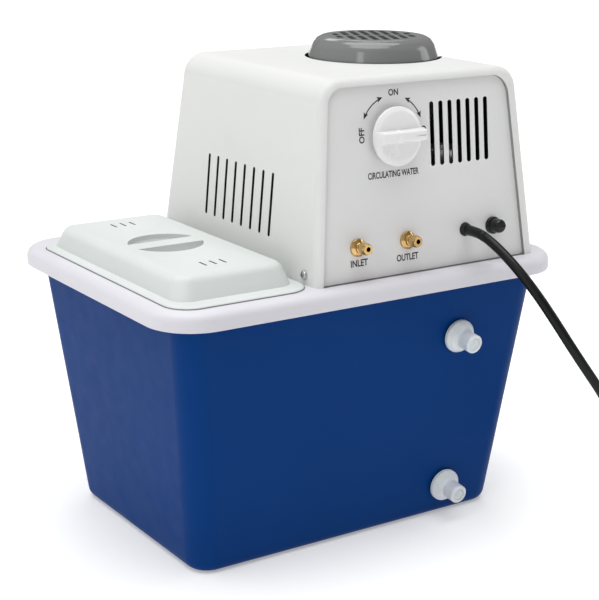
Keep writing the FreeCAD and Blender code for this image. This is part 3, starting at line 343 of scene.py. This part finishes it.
WEARS = {
    "tank_blue": ["tank"],
    "deck_white": ["deck"],
    "lid_white": ["tank_lid"],
    "hood_white": ["hood_shell"],
    "panel_white": ["rear_panel"],
    "cowl_grey": ["fan_cover"],
    "knob_white": ["circulation_knob"],
    "black_plastic": ["fuse_holder", "fuse_cap", "switch_bezel"],
    "black_paint": ["gauge_case_a", "gauge_case_b", "gauge_pointer_a", "gauge_pointer_b"],
    "grey_plastic": ["terminal_block", "cooling_fan"],
    "pump_plastic": ["pump_column", "pump_volute", "impeller", "suction_strainer",
                     "water_distributor", "ejectors", "valve_body"],
    "rocker_red": ["switch_rocker"],
    "dial_white": ["gauge_dial_a", "gauge_dial_b"],
    "motor_paint": ["motor_housing"],
    "lamp_green": ["indicator_lamp"],
    "nozzle_white": ["overflow_nozzle", "drain_nozzle", "nozzle_nuts", "suction_nozzle_a",
                     "suction_nozzle_b"],
    "hose_clear": ["vacuum_hoses", "water_hoses"],
    "brass": ["inlet_nipple", "outlet_nipple", "panel_nuts"],
    "steel": ["cross_screws", "valve_stem", "valve_ball", "motor_shaft", "motor_bearings",
              "check_ball_a", "check_ball_b", "fuse_link"],
    "zinc": ["hood_brackets", "motor_plate", "capacitor_bracket"],
    "aluminium": ["capacitor"],
    "cast_alu": ["end_shields"],
    "rubber": ["cord_bushing", "nozzle_gaskets", "power_cord", "power_cord_coil", "power_plug"],
    "clear_glass": ["gauge_lens_a", "gauge_lens_b"],
    "windings": ["motor_stator", "motor_rotor"],
}
for look, names in WEARS.items():
    for name in names:
        node = nodes[name]
        if not node.material_slots:
            node.data.materials.append(None)
        for place in node.material_slots:
            place.material = LOOK[look]


# ---------------------------------------------------------------- mesh helpers
def add_object(name, data, look, body, smooth=True):
    made = bpy.data.objects.new(name, data)
    scene.collection.objects.link(made)
    if look:
        data.materials.append(LOOK[look])
    if smooth and isinstance(data, bpy.types.Mesh):
        for polygon in data.polygons:
            polygon.use_smooth = True
    if body:
        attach(made, body)
    return made


def mesh_of(bm, name):
    data = bpy.data.meshes.new(name)
    bmesh.ops.recalc_face_normals(bm, faces=bm.faces)
    bm.to_mesh(data)
    bm.free()
    return data


def loft(bm, rings, close_ends=True):
    """Skins a run of rings of equal point counts."""
    rows = [[bm.verts.new(p) for p in ring] for ring in rings]
    count = len(rows[0])
    for a, b in zip(rows, rows[1:]):
        for i in range(count):
            j = (i + 1) % count
            bm.faces.new((a[i], a[j], b[j], b[i]))
    if close_ends:
        bm.faces.new(rows[0][::-1])
        bm.faces.new(rows[-1])
    return rows


def spline_points(curve):
    """Points along a bevelled curve's own line."""
    bevel, curve.data.bevel_depth = curve.data.bevel_depth, 0.0
    bpy.context.view_layer.update()
    graph = bpy.context.evaluated_depsgraph_get()
    line = bpy.data.meshes.new_from_object(curve.evaluated_get(graph))
    points = [v.co.copy() for v in line.vertices]
    bpy.data.meshes.remove(line)
    curve.data.bevel_depth = bevel
    return points


def sleeve(points, radii, segments=28):
    """Rings round a run of points, with a radius for each."""
    rings = []
    side = Vector((1, 0, 0))
    for i, here in enumerate(points):
        along = (points[min(i + 1, len(points) - 1)] - points[max(i - 1, 0)]).normalized()
        side = (side - along * side.dot(along)).normalized()
        other = along.cross(side)
        rings.append([here + (side * math.cos(a) + other * math.sin(a)) * radii[i]
                      for a in (2 * math.pi * k / segments for k in range(segments))])
    return rings


# ---------------------------------------------------------------- stoppers of the tank's nozzles
NOZZLES = {"overflow_stopper": (89.0, 169.5), "drain_stopper": (91.3, 29.0)}
STOPPER = ((-14.0, 4.5), (-14.6, 4.96), (-22.8, 4.96), (-23.4, 4.75), (-23.6, 4.2),
           (-23.7, 2.4), (-23.7, 0.6))    # place along the nozzle, radius
for name, (x, v) in NOZZLES.items():
    bm = bmesh.new()
    middle = [TANK_SIDE @ mm(x, place, v) for place, radius in STOPPER]
    loft(bm, sleeve(middle, [radius * MM for place, radius in STOPPER], 36))
    add_object(name, mesh_of(bm, name), "nozzle_white", "chassis")


# ---------------------------------------------------------------- mains lead
CORD_R = 4.0
COIL_AT = (259.0, -226.0)
COIL_MID_R = 42.0
COIL_TOP = 24.0
CORD_EXIT = REAR @ mm(95.0, 16.0, 28.8)
ROUTE = [
    (95.0, -133.0, 259.0), (95.0, -151.0, 255.8), (97.0, -169.0, 246.8),
    (101.0, -186.0, 234.0), (107.5, -201.0, 217.2), (116.0, -213.0, 197.6),
    (126.5, -222.0, 176.8), (139.0, -229.0, 156.0), (153.0, -233.5, 135.5),
    (166.0, -236.5, 112.5), (177.0, -239.0, 87.5), (187.5, -242.0, 62.5),
    (199.0, -247.0, 39.0), (214.5, -255.0, 20.0), (234.0, -264.5, 8.5),
]


def ease(angle, start, end):
    share = min(1.0, max(0.0, (angle - start) / (end - start)))
    return share * share * (3 - 2 * share)


def coil_place(angle):
    """Radius and height of the lead in its coil at a running angle in degrees."""
    near, far = 37.4, 46.8
    radius = far + (near - far) * ease(angle, 132, 302)
    radius += (far - near) * ease(angle, 755, 925)
    radius += (near - far) * ease(angle, 1375, 1545)
    radius += (COIL_MID_R - near) * ease(angle, 1600, 1782)
    height = 4.0 + 8.0 * ease(angle, 478, 578) + 8.0 * ease(angle, 1100, 1200)
    return radius, height + 15.0 * ease(angle, 1600, 1782)


def coil_points():
    step, last = 18, 1782
    points = []
    for angle in range(-90, last + 1, step):
        radius, height = coil_place(angle)
        radius /= math.cos(math.radians(step / 2)) ** 0.7
        turn = math.radians(angle)
        points.append((COIL_AT[0] + radius * math.cos(turn),
                       COIL_AT[1] + radius * math.sin(turn), height))
    return points


PLUG_AT = Vector((COIL_AT[0] + COIL_MID_R, COIL_AT[1] + 14.0, COIL_TOP))
PLUG_MID_Z = 11.0
TO_PLUG = [(301.2, -229.0, 35.0), (301.0, -220.0, 35.0)]
line = [tuple(CORD_EXIT / MM)] + ROUTE + coil_points() + TO_PLUG

lead = bpy.data.curves.new("mains_lead", "CURVE")
lead.dimensions = "3D"
lead.bevel_depth = 1.0            # times each point's radius
lead.bevel_resolution = 6
lead.use_fill_caps = True
spline = lead.splines.new("NURBS")
spline.points.add(len(line) - 1)
for point, place in zip(spline.points, line):
    point.co = (place[0] * MM, place[1] * MM, place[2] * MM, 1.0)
    point.radius = CORD_R * MM
spline.order_u = 3
spline.use_endpoint_u = True
spline.resolution_u = 6
mains_lead = add_object("mains_lead", lead, "cord_rubber", "chassis")
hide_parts("power_cord", "power_cord_coil")

# Tapered sleeve out of the bushing, following the lead.
path = spline_points(mains_lead)
length_along = [0.0]
for a, b in zip(path, path[1:]):
    length_along.append(length_along[-1] + (b - a).length)
SLEEVE_START, SLEEVE_END = 0.0125, 0.040
SLEEVE_R, SLEEVE_TAPER, SLEEVE_RIBS = 4.45, 0.4, 9
outside = [(p, run) for p, run in zip(path, length_along) if SLEEVE_START < run < SLEEVE_END]
first, last = outside[0][1], outside[-1][1]
radii = []
for p, run in outside:
    share = (run - first) / (last - first)
    wave = math.cos(share * SLEEVE_RIBS * 2 * math.pi)
    groove = 0.1 * MM * (0.5 + 0.5 * wave) * (1 - share)
    radii.append((SLEEVE_R - SLEEVE_TAPER * share) * MM - groove)
bm = bmesh.new()
loft(bm, sleeve([p for p, run in outside], radii))
add_object("lead_sleeve", mesh_of(bm, "lead_sleeve"), "cord_rubber", "chassis")


def soft_square(half_x, half_z, power, count):
    """Points round a rectangle with soft corners."""
    points = []
    for k in range(count):
        a = 2 * math.pi * k / count
        c, s = math.cos(a), math.sin(a)
        points.append((half_x * math.copysign(abs(c) ** power, c),
                       half_z * math.copysign(abs(s) ** power, s)))
    return points


# Plug: moulded body with grip ribs, and metal pins.
profile = [(-20.0, 6.2, 6.0), (-19.2, 7.2, 7.0), (-15.0, 8.4, 8.6)]    # y, half x, half z
for k in range(7):
    y = -13.0 + 2.0 * k
    wide, tall = 9.0 + 0.42 * k, 9.2 + 0.22 * k
    profile += [(y, wide - 0.7, tall - 0.7), (y + 0.5, wide, tall), (y + 1.3, wide, tall),
                (y + 1.7, wide - 0.7, tall - 0.7)]
profile += [(2.0, 12.3, 10.9), (17.6, 12.5, 11.0), (18.6, 12.2, 10.7), (19.0, 11.4, 9.9)]
bm = bmesh.new()
loft(bm, [[PLUG_AT * MM + mm(x, y, PLUG_MID_Z + z)
           for x, z in soft_square(half_x, half_z, 2 / 3.4, 40)] for y, half_x, half_z in profile])
lead_plug = add_object("lead_plug", mesh_of(bm, "lead_plug"), "cord_rubber", "chassis")

bm = bmesh.new()
BLADE_X, BLADE_Z, EARTH_Z = 6.35, 14.7, 5.0
for x in (-BLADE_X, BLADE_X):
    rings = []
    for y, half in ((19.0, 3.2), (32.5, 3.2), (35.0, 2.0)):
        thick = 0.8 if y < 34 else 0.5
        rings.append([PLUG_AT * MM + mm(x + sx * thick, y, BLADE_Z + sz * half)
                      for sx, sz in ((-1, -1), (1, -1), (1, 1), (-1, 1))])
    loft(bm, rings)
earth = [(18.5, 2.4), (34.0, 2.4), (36.5, 2.0), (38.0, 1.0)]
loft(bm, [[PLUG_AT * MM + mm(r * math.cos(a), y, EARTH_Z + r * math.sin(a))
           for a in (2 * math.pi * k / 20 for k in range(20))] for y, r in earth])
add_object("plug_pins", mesh_of(bm, "plug_pins"), "brass", "chassis", False)
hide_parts("power_plug")

# Tie strap round the coil.
TIE_HALF_X, TIE_HALF_Z, TIE_MID_Z = 9.6, 12.4, 12.5
bm = bmesh.new()
rings = []
for y, inset in ((-6.0, 0.3), (-5.6, 0.0), (5.6, 0.0), (6.0, 0.3)):
    ring = soft_square(TIE_HALF_X - inset, TIE_HALF_Z - inset, 0.55, 36)
    rings.append([mm(COIL_AT[0] - COIL_MID_R + x, COIL_AT[1] + y, TIE_MID_Z + z) for x, z in ring])
loft(bm, rings, False)
coil_tie = add_object("coil_tie", mesh_of(bm, "coil_tie"), "rubber", "chassis")
coil_tie.modifiers.new("thick", "SOLIDIFY").thickness = 0.8 * MM


# ---------------------------------------------------------------- printed marks
LETTER_WEIGHT = 0.028


def text_mesh(words, width, height):
    """Letters as a flat mesh, centred, fitted to a width and height in millimetres."""
    font = bpy.data.curves.new("letters", "FONT")
    font.body = words
    font.resolution_u = 6
    font.offset = LETTER_WEIGHT
    holder = bpy.data.objects.new("letters", font)
    scene.collection.objects.link(holder)
    bpy.context.view_layer.update()
    graph = bpy.context.evaluated_depsgraph_get()
    data = bpy.data.meshes.new_from_object(holder.evaluated_get(graph))
    bpy.data.objects.remove(holder)
    xs = [v.co.x for v in data.vertices]
    ys = [v.co.y for v in data.vertices]
    middle = ((min(xs) + max(xs)) / 2, (min(ys) + max(ys)) / 2)
    for v in data.vertices:
        v.co.x = (v.co.x - middle[0]) / (max(xs) - min(xs)) * width
        v.co.y = (v.co.y - middle[1]) / (max(ys) - min(ys)) * height
        v.co.z = 0.0
    return data


def stamp(bm, data, frame_matrix, x, level, v, turn=0.0, mirror=1):
    """Adds a flat mesh to bm on a face frame: across x, up v, turned in the face."""
    start = len(bm.verts)
    bm.from_mesh(data)
    bm.verts.ensure_lookup_table()
    c, s = math.cos(math.radians(turn)), math.sin(math.radians(turn))
    for vert in bm.verts[start:]:
        a, b = vert.co.x, vert.co.y
        vert.co = frame_matrix @ mm(x + mirror * (a * c - b * s), level, v + a * s + b * c)
    bpy.data.meshes.remove(data)


def flat_mesh(points, faces):
    data = bpy.data.meshes.new("flat")
    data.from_pydata([(p[0], p[1], 0.0) for p in points], [], faces)
    return data


def arc_mesh(radius, start, end, width, steps=24):
    points = []
    for k in range(steps + 1):
        a = math.radians(start + (end - start) * k / steps)
        for r in (radius - width / 2, radius + width / 2):
            points.append((r * math.cos(a), r * math.sin(a)))
    faces = [(2 * k, 2 * k + 1, 2 * k + 3, 2 * k + 2) for k in range(steps)]
    return flat_mesh(points, faces)


def arrow_head(radius, angle, way, length, half):
    """Triangle on a circle at an angle, pointing along it (way +1 is anticlockwise)."""
    a = math.radians(angle)
    tip = (radius * math.cos(a), radius * math.sin(a))
    along = (-math.sin(a) * way, math.cos(a) * way)
    out = (math.cos(a), math.sin(a))
    base = (tip[0] - along[0] * length, tip[1] - along[1] * length)
    points = [tip, (base[0] + out[0] * half, base[1] + out[1] * half),
              (base[0] + along[0] * 1.2, base[1] + along[1] * 1.2),
              (base[0] - out[0] * half, base[1] - out[1] * half)]
    return flat_mesh(points, [(0, 1, 2, 3)])


PRINT = 2.94        # just proud of the rear panel's outer face
ARROWS_AT, ARROWS_R = (24.5, 113.5), 30.3
WORDS = [    # words, width, height, place across, place up the panel, turn in degrees
    ("ON", 9.6, 5.2, 26.8, 146.0, 0),
    ("OFF", 12.2, 5.2, -5.3, 114.5, 90),
    ("OFF", 12.2, 5.2, 55.5, 111.3, -90),
    ("CIRCULATING WATER", 50.0, 5.4, 24.2, 82.0, 0),
    ("INLET", 16.6, 5.6, -12.6, 14.8, 0),
    ("OUTLET", 21.8, 5.6, 35.0, 13.6, 0),
]
bm = bmesh.new()
for words, width, height, across, v, turn in WORDS:
    stamp(bm, text_mesh(words, width, height), REAR, across, PRINT, v, turn)
for start, end in ((154.0, 106.0), (64.0, 20.0)):
    arc = arc_mesh(ARROWS_R, start - 3, end + 3, 1.0)
    stamp(bm, arc, REAR, ARROWS_AT[0], PRINT, ARROWS_AT[1])
    for angle, way in ((start, 1), (end, -1)):
        head = arrow_head(ARROWS_R, angle, way, 5.5, 2.3)
        stamp(bm, head, REAR, ARROWS_AT[0], PRINT, ARROWS_AT[1])
add_object("panel_print", mesh_of(bm, "panel_print"), "ink", "chassis", False)

# Gauge scales: ten divisions over 270 degrees, numerals at each second one.
DIAL_FACE, GAUGE_V = 1.86, 112.0    # level of the dials, place of their centres up the front
NUMERALS_X, NUMERALS_V = 15.6, 16.4
SCALE_R = 24.2
for tag, across in (("a", 19.0), ("b", 95.0)):
    bm = bmesh.new()
    for k in range(51):
        angle = math.radians(-45.0 + 270.0 * k / 50)
        long = k % 5 == 0
        r0, r1 = (20.0 if long else 21.8), 24.0
        half = 0.45 if long else 0.2
        c, s = math.cos(angle), math.sin(angle)
        points = [(r * c - h * s, r * s + h * c) for r, h in
                  ((r0, -half), (r1, -half), (r1, half), (r0, half))]
        stamp(bm, flat_mesh(points, [(0, 1, 2, 3)]), FRONT, across, DIAL_FACE, GAUGE_V, 0, -1)
    for k in range(6):
        angle = math.radians(-45.0 + 54.0 * k)
        data = text_mesh("0" if k == 0 else "0.%02d" % (2 * k), 2.2 if k == 0 else 6.4, 3.0)
        stamp(bm, data, FRONT, across - NUMERALS_X * math.cos(angle), DIAL_FACE,
              GAUGE_V + NUMERALS_V * math.sin(angle), 0, -1)
    stamp(bm, text_mesh("MPa", 7.4, 3.0), FRONT, across, DIAL_FACE, GAUGE_V - 8.0, 0, -1)
    stamp(bm, arc_mesh(SCALE_R, -45, 225, 0.4, 60), FRONT, across, DIAL_FACE, GAUGE_V, 0, -1)
    add_object("gauge_scale_" + tag, mesh_of(bm, "gauge_scale_" + tag), "ink", "chassis", False)

# Marks of the rocker's two positions.
ROCKER_PIVOT = (57.0, -4.0, 62.0)
bm = bmesh.new()
tilt = FRONT @ Matrix.Translation(mm(*ROCKER_PIVOT)) @ Matrix.Rotation(math.radians(10), 4, "X")
slope = math.radians(12)
for way, data in ((1, flat_mesh([(-0.5, -2), (0.5, -2), (0.5, 2), (-0.5, 2)], [(0, 1, 2, 3)])),
                  (-1, arc_mesh(1.9, 0, 360, 0.8))):
    place = tilt @ Matrix.Translation(mm(0, 5.56, 0)) @ Matrix.Rotation(slope * -way, 4, "X")
    stamp(bm, data, place, 0.0, 0.05, way * 5.6, 0, -1)
add_object("rocker_marks", mesh_of(bm, "rocker_marks"), "white_ink", "rocker", False)


# ---------------------------------------------------------------- floor, light, camera
SKY_LOW, SKY_LEFT = 0.24, 0.82    # world brightness to the right and to the left
FLOOR_HALF = 70.0
s = Shader("floor")
s.link(s.blend(s.remap(s.noise(3.0, 4.0), 0.3, 0.7, 0.0, 1.0), (0.71, 0.71, 0.71, 1),
               (0.73, 0.73, 0.73, 1)), "Base Color")
s.set(Roughness=0.9, Specular_IOR_Level=0.1)
s.set(Emission_Color=(1.0, 1.0, 1.0, 1.0), Emission_Strength=0.3)
bm = bmesh.new()
bmesh.ops.create_grid(bm, x_segments=2, y_segments=2, size=FLOOR_HALF)
floor = bpy.data.objects.new("floor", mesh_of(bm, "floor"))
floor.data.materials.append(s.material)
scene.collection.objects.link(floor)
floor.location.z = -0.0002

world = bpy.data.worlds.new("studio")
world.use_nodes = True
sky = world.node_tree
across = sky.nodes.new("ShaderNodeSeparateXYZ")
sky.links.new(sky.nodes.new("ShaderNodeTexCoord").outputs["Generated"], across.inputs[0])
left = sky.nodes.new("ShaderNodeMapRange")
sky.links.new(across.outputs[0], left.inputs["Value"])
left.inputs["From Min"].default_value = 0.0
left.inputs["From Max"].default_value = -1.0
left.inputs["To Min"].default_value = SKY_LOW
left.inputs["To Max"].default_value = SKY_LEFT
sky.links.new(left.outputs[0], sky.nodes["Background"].inputs[1])
sky.nodes["Background"].inputs[0].default_value = (1.0, 1.0, 1.0, 1.0)
scene.world = world
scene.view_settings.view_transform = "Standard"
scene.view_settings.look = "None"


def add_light(name, kind, place, target, power, **settings):
    data = bpy.data.lights.new(name, kind)
    data.energy = power
    for key, value in settings.items():
        setattr(data, key, value)
    lamp = bpy.data.objects.new(name, data)
    scene.collection.objects.link(lamp)
    lamp.location = place
    lamp.rotation_euler = (Vector(target) - Vector(place)).to_track_quat("-Z", "Y").to_euler()


add_light("overhead", "SUN", (-0.1, 0.1, 3.0), (0, 0, 0.2), 2.95, angle=math.radians(60))
add_light("left_box", "AREA", (-1.5, -0.9, 1.1), (0, 0, 0.25), 3.0, shape="RECTANGLE",
          size=0.35, size_y=0.9)
add_light("right_box", "AREA", (1.7, -0.5, 0.9), (0, 0, 0.25), 4.0, shape="RECTANGLE",
          size=0.6, size_y=0.9)
add_light("back_box", "AREA", (0.9, 1.6, 1.7), (0, 0, 0.3), 5.0, shape="RECTANGLE",
          size=1.2, size_y=0.5)

EYE = (-0.70376, -1.08207, 0.54809)
back = Vector((-0.5312, -0.8021, 0.2728)).normalized()
right = Vector((0.8338, -0.5521, 0.0)).normalized()
up = back.cross(right).normalized()
roll = math.radians(0.43)
turned = right * math.cos(roll) + up * math.sin(roll)
upright = up * math.cos(roll) - right * math.sin(roll)
lens = bpy.data.cameras.new("camera")
lens.lens = 92.7
lens.sensor_width = 36.0
camera = bpy.data.objects.new("camera", lens)
camera.matrix_world = Matrix((
    (turned.x, upright.x, back.x, EYE[0]),
    (turned.y, upright.y, back.y, EYE[1]),
    (turned.z, upright.z, back.z, EYE[2]),
    (0, 0, 0, 1)))
lens.clip_start, lens.clip_end = 0.01, 200.0
scene.collection.objects.link(camera)
scene.camera = camera

bpy.context.view_layer.update()
